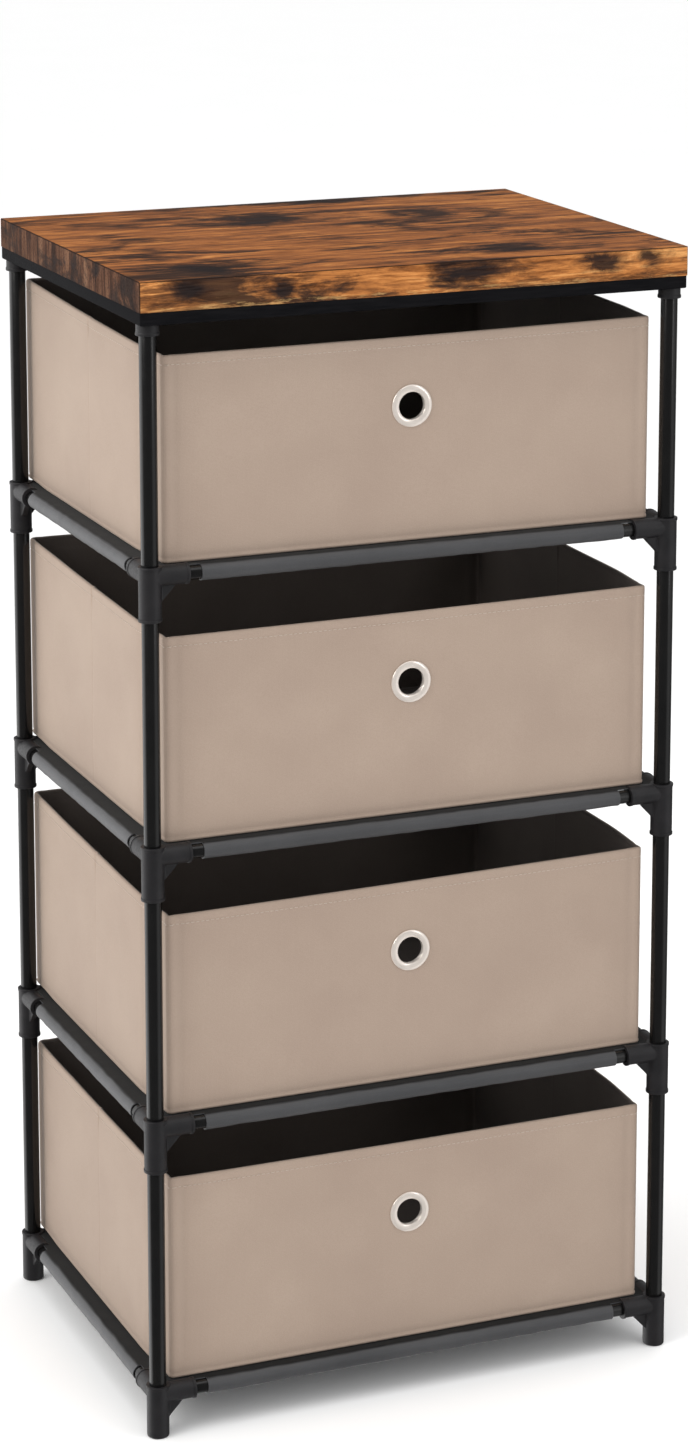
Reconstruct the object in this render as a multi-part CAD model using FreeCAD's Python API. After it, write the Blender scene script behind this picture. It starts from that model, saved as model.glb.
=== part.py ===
"""Four-tier dresser: a plug-together tube frame with a thick top and four pull-out fabric bins.

Millimetres, +Z up, front towards -Y. The origin is at floor level, midway between the four posts.
Tiers are numbered from the top. Each sub-part is written to parts/NAME.step.

Round sections are drawn with a few flats, each tangent to the true circle, because sixty-odd tubes,
sockets and hems would otherwise make a very heavy mesh. A size across flats is the true diameter.
"""

import FreeCAD
import Part
import math
import os

V = FreeCAD.Vector

# ---------------------------------------------------------------- driving dimensions
POST_SPACING_X = 520.0      # between post axes, left to right
POST_SPACING_Y = 384.0      # between post axes, front to back
TIERS = 4

POST_OD = 16.0
POST_WALL = 0.9
POST_CLEAR_LEN = 212.0      # tube showing between two connectors
POST_INSERT = 22.0          # tube inside each sleeve end

RAIL_OD = 13.0
RAIL_WALL = 0.8
RAIL_INSERT = 24.0          # tube inside each horizontal socket

POST_FLAT_COUNT = 12        # flats round a post tube and whatever it plugs into
RAIL_FLAT_COUNT = 12        # flats round a rail, its sockets and its hem
EYELET_FLAT_COUNT = 16      # flats round an eyelet and its hole
SCREW_FLAT_COUNT = 6

SLEEVE_LEN = 51.0           # vertical sleeve of a corner connector
SLEEVE_WALL = 2.5
SOCKET_REACH = 36.0         # from the post axis to a horizontal socket's mouth
SOCKET_WALL = 2.8
GUSSET_RUN = 13.0           # along the socket, from the sleeve
GUSSET_DROP = 14.0          # down the sleeve, from the socket
GUSSET_THICK = 6.0
FOOT_BEVEL = 1.6            # bevel of a foot's bottom rim

FABRIC_THICK = 1.2
HEM_SETBACK = 12.0          # bare rail between a socket's mouth and the shelf's hem

BIN_SETBACK = 8.0           # bin front behind the front posts' axes
BIN_REAR_PROUD = 13.5       # bin back beyond the rear posts' axes
BIN_SIDE_GAP = 5.0          # between a bin's side and the sleeves beside it
BIN_HEADROOM = 14.7         # bin's top edge below the next connectors' lower ends
BIN_CORNER = 2.5            # bevel of the bin's upright corners
WALL_BOARD_THICK = 2.0
FOLD_GAP = 3.0              # between the halves of a side wall's board, where the bin folds flat
BASE_BOARD_THICK = 3.0
HEM_DEPTH = 20.0            # turned-in hem at the bin's top edge

EYELET_OD = 40.0
EYELET_BORE = 26.0
EYELET_CROWN = 1.8          # how far the flange stands proud of the bin's front
EYELET_BARREL_WALL = 0.7
EYELET_DROP = 71.0          # eyelet centre below the bin's top edge
WASHER_OD = 37.0
WASHER_THICK = 0.8

TOP_OVERHANG_X = 12.0       # board edge beyond the post axes
TOP_OVERHANG_Y = 14.0
TOP_THICK = 28.0
TOP_EDGE_BEVEL = 1.0        # eased upper edge
TOP_CORNER_BEVEL = 1.5      # eased upright corners
BASE_PANEL_THICK = 12.0
BASE_PANEL_INSET = 0.5      # base panel edge behind the board's edge
BASE_PANEL_BEVEL = 2.5
TOP_SOCKET_DROP = 10.0      # top socket showing under the base panel
TOP_SOCKET_ROOF = 2.5       # closed upper end of a top socket

SCREW_SHANK = 4.0
SCREW_HEAD_OD = 8.0
SCREW_HEAD_THICK = 2.5
SCREW_BITE = 14.0           # thread beyond the top socket's roof

# ---------------------------------------------------------------- clearances
TUBE_FIT = 0.1              # radial, tube in socket
SEAT_FIT = 0.1              # radial, top socket in the base panel and the board
HEAD_GAP = 0.5              # highest tubes' ends below the screws' heads
HEM_FIT = 0.15              # radial, hem tunnel round its rail
REST_GAP = 0.3              # bin above the rear sockets it stands on
BOARD_FIT = 0.25            # boards inside the bin's cloth
BARREL_FIT = 0.3            # radial, eyelet barrel in cloth and board
LEVEL_GAP = 0.05            # between two faces that lie against each other
EDGE_SHARE = 0.7            # most of its own wall or thickness that an eased edge may take

# ---------------------------------------------------------------- derived sizes
HALF_X = POST_SPACING_X / 2
HALF_Y = POST_SPACING_Y / 2
PITCH = SLEEVE_LEN + POST_CLEAR_LEN
POST_LEN = POST_CLEAR_LEN + 2 * POST_INSERT
SLEEVE_BORE_R = POST_OD / 2 + TUBE_FIT
SLEEVE_R = SLEEVE_BORE_R + SLEEVE_WALL
SOCKET_BORE_R = RAIL_OD / 2 + TUBE_FIT
SOCKET_R = SOCKET_BORE_R + SOCKET_WALL
RAIL_DROP = SOCKET_R        # rail axis below the sleeve's top, so that the sockets end flush
RAIL_END = SOCKET_REACH - RAIL_INSERT
HEM_R = RAIL_OD / 2 + HEM_FIT + FABRIC_THICK
HEM_START = SOCKET_REACH + HEM_SETBACK
FRAME_TOP = TIERS * PITCH   # mouth of the top sockets
BASE_PANEL_Z = FRAME_TOP + TOP_SOCKET_DROP
BOARD_Z = BASE_PANEL_Z + BASE_PANEL_THICK
ROOF_Z = FRAME_TOP + POST_INSERT + HEAD_GAP + SCREW_HEAD_THICK
SOCKET_TOP = ROOF_Z + TOP_SOCKET_ROOF
TOP_X = POST_SPACING_X + 2 * TOP_OVERHANG_X
TOP_Y = POST_SPACING_Y + 2 * TOP_OVERHANG_Y
BIN_FRONT_Y = -HALF_Y + BIN_SETBACK
BIN_DEPTH = POST_SPACING_Y - BIN_SETBACK + BIN_REAR_PROUD
BIN_WIDTH = POST_SPACING_X - 2 * (SLEEVE_R + BIN_SIDE_GAP)
BIN_HEIGHT = POST_CLEAR_LEN - REST_GAP - BIN_HEADROOM
BOARD_TOP_GAP = FABRIC_THICK + BOARD_FIT
EYELET_BARREL_R = EYELET_BORE / 2 + EYELET_BARREL_WALL
EYELET_HOLE_R = EYELET_BARREL_R + BARREL_FIT
BIN_WALL = FABRIC_THICK + BOARD_FIT + WALL_BOARD_THICK

CORNERS = [(-1, -1), (1, -1), (-1, 1), (1, 1)]
CORNER_NAMES = {(-1, -1): "front_left", (1, -1): "front_right", (-1, 1): "rear_left", (1, 1): "rear_right"}


def sleeve_top(tier):
    """Height of the connectors' upper ends on a tier; tier 1 is the highest."""
    return (TIERS - tier) * PITCH + SLEEVE_LEN


def box(x0, x1, y0, y1, z0, z1):
    return Part.makeBox(x1 - x0, y1 - y0, z1 - z0, V(x0, y0, z0))


def rod(radius, length, start, axis, flats):
    """Prism with flats tangent to a circle; one flat faces each world axis across its own."""
    reach = radius / math.cos(math.pi / flats)
    u = V(axis.y, axis.z, axis.x)
    w = axis.cross(u)
    turns = [2 * math.pi * (i + 0.5) / flats for i in range(flats)]
    ring = [start + u * (reach * math.cos(t)) + w * (reach * math.sin(t)) for t in turns]
    return Part.Face(Part.makePolygon(ring + ring[:1])).extrude(axis * length)


def tube(outer_r, inner_r, start, axis, length, flats):
    return rod(outer_r, length, start, axis, flats).cut(rod(inner_r, length, start, axis, flats))


def turned_ring(profile, flats):
    """Ring round the Y axis from a closed profile of (radius, y) corners, in flats."""
    stretch = 1 / math.cos(math.pi / flats)

    def spoke(i):
        turn = 2 * math.pi * (i + 0.5) / flats
        return [V(r * stretch * math.cos(turn), y, r * stretch * math.sin(turn)) for r, y in profile]

    faces = []
    for i in range(flats):
        here, there = spoke(i), spoke(i + 1)
        for k in range(len(profile)):
            j = (k + 1) % len(profile)
            faces.append(Part.Face(Part.makePolygon([here[k], here[j], there[j], there[k], here[k]])))
    shell = Part.makeShell(faces)
    shell.sewShape()
    solid = Part.makeSolid(shell)
    if solid.Volume < 0:
        solid.reverse()
    return solid


def upright_edges(shape):
    return [e for e in shape.Edges if max(e.BoundBox.XLength, e.BoundBox.YLength) < LEVEL_GAP]


def rim_edges(shape, z):
    return [e for e in shape.Edges if max(abs(e.BoundBox.ZMin - z), abs(e.BoundBox.ZMax - z)) < LEVEL_GAP]


def export(name, solids):
    shape = solids[0] if len(solids) == 1 else Part.makeCompound(solids)
    shape.exportStep("parts/" + name + ".step")


# ---------------------------------------------------------------- frame
def post_tube(side_x, side_y, tier):
    """The tube that stands on a tier's connector and reaches up to the next one."""
    foot = V(side_x * HALF_X, side_y * HALF_Y, sleeve_top(tier) - POST_INSERT)
    return tube(POST_OD / 2, POST_OD / 2 - POST_WALL, foot, V(0, 0, 1), POST_LEN, POST_FLAT_COUNT)


def rail_tube(tier, side_x=0, side_y=0):
    """A rail on the front or back (side_y) or on the left or right (side_x)."""
    z = sleeve_top(tier) - RAIL_DROP
    radii = (RAIL_OD / 2, RAIL_OD / 2 - RAIL_WALL)
    if side_y:
        length = POST_SPACING_X - 2 * RAIL_END
        return tube(*radii, V(-length / 2, side_y * HALF_Y, z), V(1, 0, 0), length, RAIL_FLAT_COUNT)
    length = POST_SPACING_Y - 2 * RAIL_END
    return tube(*radii, V(side_x * HALF_X, -length / 2, z), V(0, 1, 0), length, RAIL_FLAT_COUNT)


def gusset(axis):
    """Triangular web under a horizontal socket, against the sleeve."""
    socket_z = SLEEVE_LEN - RAIL_DROP
    low = socket_z - SOCKET_R - GUSSET_DROP
    across = V(-axis.y, axis.x, 0) * (GUSSET_THICK / 2)
    tip = axis * (SLEEVE_R + GUSSET_RUN)
    corners = [V(0, 0, low), axis * SLEEVE_R + V(0, 0, low), tip + V(0, 0, socket_z - SOCKET_R),
               tip + V(0, 0, socket_z), V(0, 0, socket_z)]
    outline = [c - across for c in corners]
    return Part.Face(Part.makePolygon(outline + outline[:1])).extrude(across * 2)


def connector(is_foot):
    """Corner connector for the front left post: sockets towards +X and +Y, bottom end at z = 0."""
    up = V(0, 0, 1)
    body = rod(SLEEVE_R, SLEEVE_LEN, V(0, 0, 0), up, POST_FLAT_COUNT)
    if is_foot:
        body = body.makeChamfer(min(FOOT_BEVEL, EDGE_SHARE * SLEEVE_WALL), rim_edges(body, 0))
    centre = V(0, 0, SLEEVE_LEN - RAIL_DROP)
    for axis in (V(1, 0, 0), V(0, 1, 0)):
        body = body.fuse([rod(SOCKET_R, SOCKET_REACH, centre, axis, RAIL_FLAT_COUNT), gusset(axis)])
    bores = [rod(SLEEVE_BORE_R, POST_INSERT + LEVEL_GAP, V(0, 0, SLEEVE_LEN), -up, POST_FLAT_COUNT)]
    if not is_foot:
        bores.append(rod(SLEEVE_BORE_R, POST_INSERT + LEVEL_GAP, V(0, 0, 0), up, POST_FLAT_COUNT))
    for axis in (V(1, 0, 0), V(0, 1, 0)):
        mouth = centre + axis * SOCKET_REACH
        bores.append(rod(SOCKET_BORE_R, RAIL_INSERT + LEVEL_GAP, mouth, -axis, RAIL_FLAT_COUNT))
    return body.cut(bores).removeSplitter()


def placed_connector(local, side_x, side_y, tier):
    """Mirrors the front left connector to a corner and lifts it to its tier."""
    shape = local.copy()
    if side_x > 0:
        shape = shape.mirror(V(0, 0, 0), V(1, 0, 0))
    if side_y > 0:
        shape = shape.mirror(V(0, 0, 0), V(0, 1, 0))
    shape.translate(V(side_x * HALF_X, side_y * HALF_Y, sleeve_top(tier) - SLEEVE_LEN))
    return shape


def shelf_fabric(tier):
    """Cloth stretched over a tier's four rails, with a hem tunnel round each and its corners cut away."""
    z = sleeve_top(tier) - RAIL_DROP
    top = z + HEM_R
    sheet = box(-HALF_X, HALF_X, -HALF_Y, HALF_Y, top - FABRIC_THICK, top)
    half_hem_x = HALF_X - HEM_START
    half_hem_y = HALF_Y - HEM_START
    for sx, sy in CORNERS:
        xs = sorted((sx * half_hem_x, sx * (HALF_X + HEM_R)))
        ys = sorted((sy * half_hem_y, sy * (HALF_Y + HEM_R)))
        sheet = sheet.cut(box(*xs, *ys, z, top + FABRIC_THICK))
    hems = []
    bores = []
    for side in (-1, 1):
        runs = [(V(-half_hem_x, side * HALF_Y, z), V(1, 0, 0), 2 * half_hem_x),
                (V(side * HALF_X, -half_hem_y, z), V(0, 1, 0), 2 * half_hem_y)]
        for start, axis, length in runs:
            hems.append(rod(HEM_R, length, start, axis, RAIL_FLAT_COUNT))
            bores.append(rod(HEM_R - FABRIC_THICK, length, start, axis, RAIL_FLAT_COUNT))
    return sheet.fuse(hems).cut(bores).removeSplitter()


# ---------------------------------------------------------------- top
def post_points(z):
    return [V(sx * HALF_X, sy * HALF_Y, z) for sx, sy in CORNERS]


def socket_seats():
    """Round seats up through the base panel and into the board, with the screws' holes above them."""
    seats = [rod(SLEEVE_R + SEAT_FIT, SOCKET_TOP + LEVEL_GAP - FRAME_TOP, p, V(0, 0, 1), POST_FLAT_COUNT)
             for p in post_points(FRAME_TOP)]
    holes = [rod(SCREW_SHANK / 2 + LEVEL_GAP, SCREW_BITE + LEVEL_GAP, p, V(0, 0, 1), SCREW_FLAT_COUNT)
             for p in post_points(SOCKET_TOP)]
    return seats + holes


def top_board():
    """Thick board with an eased upper rim."""
    board = box(-TOP_X / 2, TOP_X / 2, -TOP_Y / 2, TOP_Y / 2, BOARD_Z, BOARD_Z + TOP_THICK)
    board = board.makeChamfer(TOP_CORNER_BEVEL, upright_edges(board))
    rim = rim_edges(board, BOARD_Z + TOP_THICK)
    board = board.makeChamfer(min(TOP_EDGE_BEVEL, EDGE_SHARE * TOP_THICK), rim)
    return board.cut(socket_seats())


def base_panel():
    """Black panel under the board, bevelled below."""
    half_x, half_y = TOP_X / 2 - BASE_PANEL_INSET, TOP_Y / 2 - BASE_PANEL_INSET
    panel = box(-half_x, half_x, -half_y, half_y, BASE_PANEL_Z, BOARD_Z)
    panel = panel.makeChamfer(TOP_CORNER_BEVEL, upright_edges(panel))
    rim = rim_edges(panel, BASE_PANEL_Z)
    panel = panel.makeChamfer(min(BASE_PANEL_BEVEL, EDGE_SHARE * BASE_PANEL_THICK), rim)
    return panel.cut(socket_seats())


def top_socket(at):
    """Cup that takes the highest post tube, pressed up through the base panel into the board."""
    up = V(0, 0, 1)
    tall = SOCKET_TOP - FRAME_TOP
    bore = rod(SLEEVE_BORE_R, ROOF_Z - FRAME_TOP, at, up, POST_FLAT_COUNT)
    hole = rod(SCREW_SHANK / 2 + TUBE_FIT, tall, at, up, SCREW_FLAT_COUNT)
    return rod(SLEEVE_R, tall, at, up, POST_FLAT_COUNT).cut([bore, hole])


def socket_screw(at):
    """Screw up through a top socket's roof; its head stays inside the cup, above the tube's end."""
    roof = V(at.x, at.y, ROOF_Z)
    head = rod(SCREW_HEAD_OD / 2, SCREW_HEAD_THICK, roof, V(0, 0, -1), SCREW_FLAT_COUNT)
    shank = rod(SCREW_SHANK / 2, TOP_SOCKET_ROOF + SCREW_BITE, roof, V(0, 0, 1), SCREW_FLAT_COUNT)
    return head.fuse(shank).removeSplitter()


# ---------------------------------------------------------------- bins
def bin_floor(tier):
    return sleeve_top(tier) + REST_GAP


def bevelled_prism(half_x, y0, y1, z0, z1, bevel):
    prism = box(-half_x, half_x, y0, y1, z0, z1)
    return prism.makeChamfer(bevel, upright_edges(prism))


def eyelet_axis_point(tier, y):
    return V(0, y, bin_floor(tier) + BIN_HEIGHT - EYELET_DROP)


def front_hole(tier, radius):
    start = eyelet_axis_point(tier, BIN_FRONT_Y - BIN_WALL)
    return rod(radius, 3 * BIN_WALL, start, V(0, 1, 0), EYELET_FLAT_COUNT)


def bin_cloth(tier):
    """Outer cloth with its bottom, and the hem turned in over the tops of the wall boards."""
    z0 = bin_floor(tier)
    z1 = z0 + BIN_HEIGHT
    y0, y1 = BIN_FRONT_Y, BIN_FRONT_Y + BIN_DEPTH
    half = BIN_WIDTH / 2
    t = FABRIC_THICK
    hem_in = BIN_WALL + BOARD_FIT
    cloth = bevelled_prism(half, y0, y1, z0, z1, BIN_CORNER)
    mouth = box(-half + hem_in + t, half - hem_in - t, y0 + hem_in + t, y1 - hem_in - t, z0 + t, z1)
    pocket = bevelled_prism(half - t, y0 + t, y1 - t, z0 + t, z1 - t, BIN_CORNER)
    hem_leg = box(-half + hem_in, half - hem_in, y0 + hem_in, y1 - hem_in, z1 - HEM_DEPTH, z1)
    hem_leg = hem_leg.cut(mouth)
    cloth = cloth.cut(pocket).cut(mouth).fuse(hem_leg)
    return cloth.cut(front_hole(tier, EYELET_HOLE_R)).removeSplitter()


def wall_boards(tier):
    """Stiffening boards of the four walls, standing inside the cloth under the hem; the sides' are halved."""
    z0 = bin_floor(tier) + FABRIC_THICK + LEVEL_GAP
    z1 = bin_floor(tier) + BIN_HEIGHT - BOARD_TOP_GAP
    skin = FABRIC_THICK + BOARD_FIT
    x_out, x_in = BIN_WIDTH / 2 - skin, BIN_WIDTH / 2 - BIN_WALL
    y0, y1 = BIN_FRONT_Y + skin, BIN_FRONT_Y + BIN_DEPTH - skin
    in0, in1 = BIN_FRONT_Y + BIN_WALL, BIN_FRONT_Y + BIN_DEPTH - BIN_WALL
    corner = BIN_CORNER + BOARD_FIT
    front = box(-x_out + corner, x_out - corner, y0, in0, z0, z1).cut(front_hole(tier, EYELET_HOLE_R))
    back = box(-x_out + corner, x_out - corner, in1, y1, z0, z1)
    fold = (in0 + in1) / 2
    runs = [(in0 + BOARD_FIT, fold - FOLD_GAP / 2), (fold + FOLD_GAP / 2, in1 - BOARD_FIT)]
    halves = [box(*span, *run, z0, z1) for span in ((-x_out, -x_in), (x_in, x_out)) for run in runs]
    return [front, back] + halves


def base_board(tier):
    """Loose board on the bin's cloth bottom, between the wall boards."""
    z0 = bin_floor(tier) + FABRIC_THICK + LEVEL_GAP
    inner = BIN_WALL + BOARD_FIT
    half = BIN_WIDTH / 2 - inner
    return box(-half, half, BIN_FRONT_Y + inner, BIN_FRONT_Y + BIN_DEPTH - inner, z0, z0 + BASE_BOARD_THICK)


def eyelet(tier):
    """Two-part eyelet: a crowned flange with its barrel, and the washer the barrel is rolled over."""
    r_in, r_barrel, r_out = EYELET_BORE / 2, EYELET_BARREL_R, EYELET_OD / 2
    r_crown = (r_barrel + r_out) / 2
    washer_front = BIN_WALL + LEVEL_GAP
    washer_back = washer_front + WASHER_THICK
    curl_front = washer_back + LEVEL_GAP
    curl_back = curl_front + EYELET_BARREL_WALL
    r_curl = EYELET_HOLE_R + EYELET_BARREL_WALL
    flange = [(r_in, 0), (r_crown, -EYELET_CROWN), (r_out, -LEVEL_GAP), (r_barrel, -LEVEL_GAP),
              (r_barrel, curl_front), (r_curl, curl_front), (r_curl, curl_back), (r_in, curl_back)]
    washer = [(EYELET_HOLE_R, washer_front), (WASHER_OD / 2, washer_front),
              (WASHER_OD / 2, washer_back), (EYELET_HOLE_R, washer_back)]
    pieces = [turned_ring(flange, EYELET_FLAT_COUNT), turned_ring(washer, EYELET_FLAT_COUNT)]
    for piece in pieces:
        piece.translate(eyelet_axis_point(tier, BIN_FRONT_Y))
    return pieces


# ---------------------------------------------------------------- all sub-parts
def build():
    os.makedirs("parts", exist_ok=True)
    export("top_board", [top_board()])
    export("top_base_panel", [base_panel()])
    export("top_sockets", [top_socket(p) for p in post_points(FRAME_TOP)])
    export("top_socket_screws", [socket_screw(p) for p in post_points(FRAME_TOP)])
    plain, foot = connector(False), connector(True)
    for tier in range(1, TIERS + 1):
        for corner, name in CORNER_NAMES.items():
            export("post_tube_%d_%s" % (tier, name), [post_tube(*corner, tier)])
        local = foot if tier == TIERS else plain
        kind = "foot_connectors" if tier == TIERS else "connectors_%d" % tier
        for hand, corners in (("left_hand", [(-1, -1), (1, 1)]), ("right_hand", [(1, -1), (-1, 1)])):
            export(kind + "_" + hand, [placed_connector(local, sx, sy, tier) for sx, sy in corners])
        export("rails_%d_front_back" % tier, [rail_tube(tier, side_y=s) for s in (-1, 1)])
        export("rails_%d_sides" % tier, [rail_tube(tier, side_x=s) for s in (-1, 1)])
        export("shelf_fabric_%d" % tier, [shelf_fabric(tier)])
        export("bin_%d_cloth" % tier, [bin_cloth(tier)])
        export("bin_%d_wall_boards" % tier, wall_boards(tier))
        export("bin_%d_base_board" % tier, [base_board(tier)])
        export("bin_%d_eyelet" % tier, eyelet(tier))


build()
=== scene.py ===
"""Looks of the four-tier fabric bin dresser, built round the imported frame.

Metres, +Z up, front towards -Y.
"""

import math

import bmesh
import bpy
from mathutils import Matrix, Vector, noise


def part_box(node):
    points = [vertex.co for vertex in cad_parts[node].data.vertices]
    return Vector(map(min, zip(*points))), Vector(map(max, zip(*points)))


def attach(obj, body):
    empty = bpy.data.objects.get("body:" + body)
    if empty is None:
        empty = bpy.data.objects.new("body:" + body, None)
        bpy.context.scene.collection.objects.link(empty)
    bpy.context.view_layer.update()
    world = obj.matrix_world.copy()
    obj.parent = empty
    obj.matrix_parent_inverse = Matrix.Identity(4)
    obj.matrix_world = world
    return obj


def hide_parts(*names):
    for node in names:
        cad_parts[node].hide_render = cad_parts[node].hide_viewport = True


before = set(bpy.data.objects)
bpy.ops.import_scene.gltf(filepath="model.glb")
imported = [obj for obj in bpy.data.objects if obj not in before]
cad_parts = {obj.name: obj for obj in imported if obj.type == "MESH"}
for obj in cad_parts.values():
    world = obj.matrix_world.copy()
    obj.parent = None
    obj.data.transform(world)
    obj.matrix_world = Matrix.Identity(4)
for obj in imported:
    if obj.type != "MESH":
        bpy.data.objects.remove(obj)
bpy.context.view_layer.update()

MM = 0.001
X, Y, Z = (1, 0, 0), (0, 1, 0), (0, 0, 1)
TIERS = (1, 2, 3, 4)
CORNERS = {"front_left": (-1, -1), "front_right": (1, -1),
           "rear_left": (-1, 1), "rear_right": (1, 1)}
HANDS = {"left_hand": ("front_left", "rear_right"), "right_hand": ("front_right", "rear_left")}
SPARE_FIT = 1e-6          # points nearer than this are one point


# ------------ sizes read from the frame
def middle(node):
    low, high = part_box(node)
    return (low + high) / 2


def extent(node):
    low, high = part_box(node)
    return high - low


HALF_X = middle("post_tube_1_front_right").x
HALF_Y = middle("post_tube_1_rear_left").y
POST_R = extent("post_tube_1_front_right").x / 2
RAIL_R = extent("rails_1_front_back").z / 2
SLEEVE_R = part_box("connectors_1_left_hand")[1].x - HALF_X
SLEEVE_LEN = extent("connectors_1_left_hand").z
RAIL_LEN_X = extent("rails_1_front_back").x
RAIL_LEN_Y = extent("rails_1_sides").y
FRAME_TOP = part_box("top_sockets")[0].z
SOCKET_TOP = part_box("top_sockets")[1].z
SLEEVE_TOP = {tier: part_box("connectors_%d_left_hand" % tier)[1].z for tier in TIERS[:-1]}
SLEEVE_TOP[TIERS[-1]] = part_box("foot_connectors_left_hand")[1].z
RAIL_HEIGHT = {tier: middle("rails_%d_front_back" % tier).z for tier in TIERS}
RAIL_DROP = SLEEVE_TOP[1] - RAIL_HEIGHT[1]
SOCKET_R = RAIL_DROP      # the sockets end flush with the sleeve's top
HEM_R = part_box("shelf_fabric_1")[1].z - RAIL_HEIGHT[1]

# ------------ sizes of the frame's detail
POST_WALL = 0.9 * MM
RAIL_WALL = 0.8 * MM
POST_INSERT = 22 * MM     # tube inside each sleeve end
SLEEVE_BORE_R = POST_R + 0.1 * MM
SOCKET_BORE_R = RAIL_R + 0.1 * MM
SOCKET_REACH = 36 * MM    # from the post axis to a horizontal socket's mouth
GUSSET_RUN = 13 * MM
GUSSET_DROP = 14 * MM
GUSSET_THICK = 6 * MM
LIP_PROUD = 0.55 * MM     # moulded ring round each mouth
LIP_LEN = 2.6 * MM
LIP_ROUND = 0.35 * MM
RIM_ROUND = 0.5 * MM      # at the connectors' ends
FOOT_ROUND = 1.6 * MM     # at the feet's lower ends
MOULD_VOXEL = 0.7 * MM    # grain at which a connector's joints are blended
MOULD_KEPT = 0.3          # share of faces kept afterwards
TUBE_SEGMENTS = 40
HEM_SETBACK = 12 * MM     # bare rail between a socket's mouth and the hem
HEM_START = SOCKET_REACH + HEM_SETBACK
SHELF_THICK = 1.0 * MM


# ------------ materials
def add_node(tree, kind, inputs, **settings):
    """Outputs of a new node; each input is a value or the socket that it is linked to."""
    made = tree.nodes.new("ShaderNode" + kind)
    for key, value in settings.items():
        setattr(made, key, value)
    for socket, value in inputs.items():
        if isinstance(value, bpy.types.NodeSocket):
            tree.links.new(value, made.inputs[socket])
        else:
            made.inputs[socket].default_value = value
    return made.outputs


class Finish:
    """A procedural material under construction: short calls that add and wire its nodes."""

    def __init__(self, name, gloss=0.5, **constants):
        self.material = bpy.data.materials.new(name)
        self.material.use_nodes = True
        self.tree = self.material.node_tree
        self.shader = self.tree.nodes["Principled BSDF"]
        for socket, value in {"Specular_IOR_Level": gloss, **constants}.items():
            self.shader.inputs[socket.replace("_", " ")].default_value = value

    def node(self, kind, inputs, **settings):
        return add_node(self.tree, kind, inputs, **settings)

    def place(self, scale=(1, 1, 1)):
        """The object's own coordinates in metres, stretched."""
        coords = self.node("TexCoord", {})["Object"]
        return self.node("Mapping", {"Vector": coords, "Scale": scale})[0]

    def normal(self):
        """The parts of the surface's direction along the object's axes."""
        return self.split(self.node("TexCoord", {})["Normal"])

    def grain(self, where, scale, detail=3.0, roughness=0.5, distortion=0.0):
        inputs = {"Vector": where, "Scale": scale, "Detail": detail,
                  "Roughness": roughness, "Distortion": distortion}
        return self.node("TexNoise", inputs)["Fac"]

    def cells(self, where, scale, randomness):
        inputs = {"Vector": where, "Scale": scale, "Randomness": randomness}
        return self.node("TexVoronoi", inputs)["Distance"]

    def ramp(self, factor, *stops):
        """Colour ramp; each stop is (place, colour or grey)."""
        made = self.node("ValToRGB", {"Fac": factor})
        band = made[0].node.color_ramp
        while len(band.elements) < len(stops):
            band.elements.new(0.5)
        for element, (at, colour) in zip(band.elements, stops):
            element.position = at
            element.color = (*colour, 1) if isinstance(colour, tuple) else (colour,) * 3 + (1,)
        return made["Color"]

    def math(self, operation, a, b=0.0):
        return self.node("Math", {0: a, 1: b}, operation=operation)[0]

    def mix(self, factor, a, b, blend="MIX"):
        a, b = [(*c, 1) if isinstance(c, tuple) else c for c in (a, b)]
        inputs = {0: factor, 6: a, 7: b}
        return self.node("Mix", inputs, data_type="RGBA", blend_type=blend)[2]

    def split(self, vector):
        return self.node("SeparateXYZ", {0: vector})

    def colour(self, output):
        self.tree.links.new(output, self.shader.inputs["Base Color"])

    def roughness(self, output):
        self.tree.links.new(output, self.shader.inputs["Roughness"])

    def bump(self, *layers):
        """Each layer is (height, distance in metres) and adds to those before it."""
        normal = None
        for height, distance in layers:
            inputs = {"Height": height, "Distance": distance, "Strength": 1.0}
            if normal is not None:
                inputs["Normal"] = normal
            normal = self.node("Bump", inputs)[0]
        self.tree.links.new(normal, self.shader.inputs["Normal"])


def powder_coat():
    """Satin black coat on the steel tubes, with a faint orange-peel surface."""
    f = Finish("black_powder_coat")
    where = f.place()
    f.colour(f.ramp(f.grain(where, 40), (0.3, (0.0030, 0.0029, 0.0030)),
                    (0.7, (0.0048, 0.0045, 0.0045))))
    f.roughness(f.ramp(f.grain(where, 90), (0.3, 0.22), (0.7, 0.27)))
    f.bump((f.grain(where, 1400, 2), 0.000005))
    return f.material


def moulded_plastic():
    """Dark injection-moulded plastic of the connectors, finely textured."""
    f = Finish("black_moulded_plastic", gloss=0.45)
    where = f.place()
    f.colour(f.ramp(f.grain(where, 60), (0.3, (0.009, 0.0085, 0.010)),
                    (0.75, (0.015, 0.0135, 0.0155))))
    f.roughness(f.ramp(f.grain(where, 500), (0.3, 0.42), (0.7, 0.58)))
    f.bump((f.grain(where, 2600, 2), 0.00004))
    return f.material


def black_panel():
    """Black foil on the base panel, with a faint grain."""
    f = Finish("black_panel_foil", gloss=0.01)
    grain = f.grain(f.place((12, 160, 160)), 3, 5, 0.6)
    f.colour(f.ramp(grain, (0.35, (0.0050, 0.0050, 0.0058)), (0.8, (0.0095, 0.0090, 0.0100))))
    f.roughness(f.ramp(grain, (0.3, 0.38), (0.7, 0.55)))
    f.bump((grain, 0.00004))
    return f.material


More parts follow.
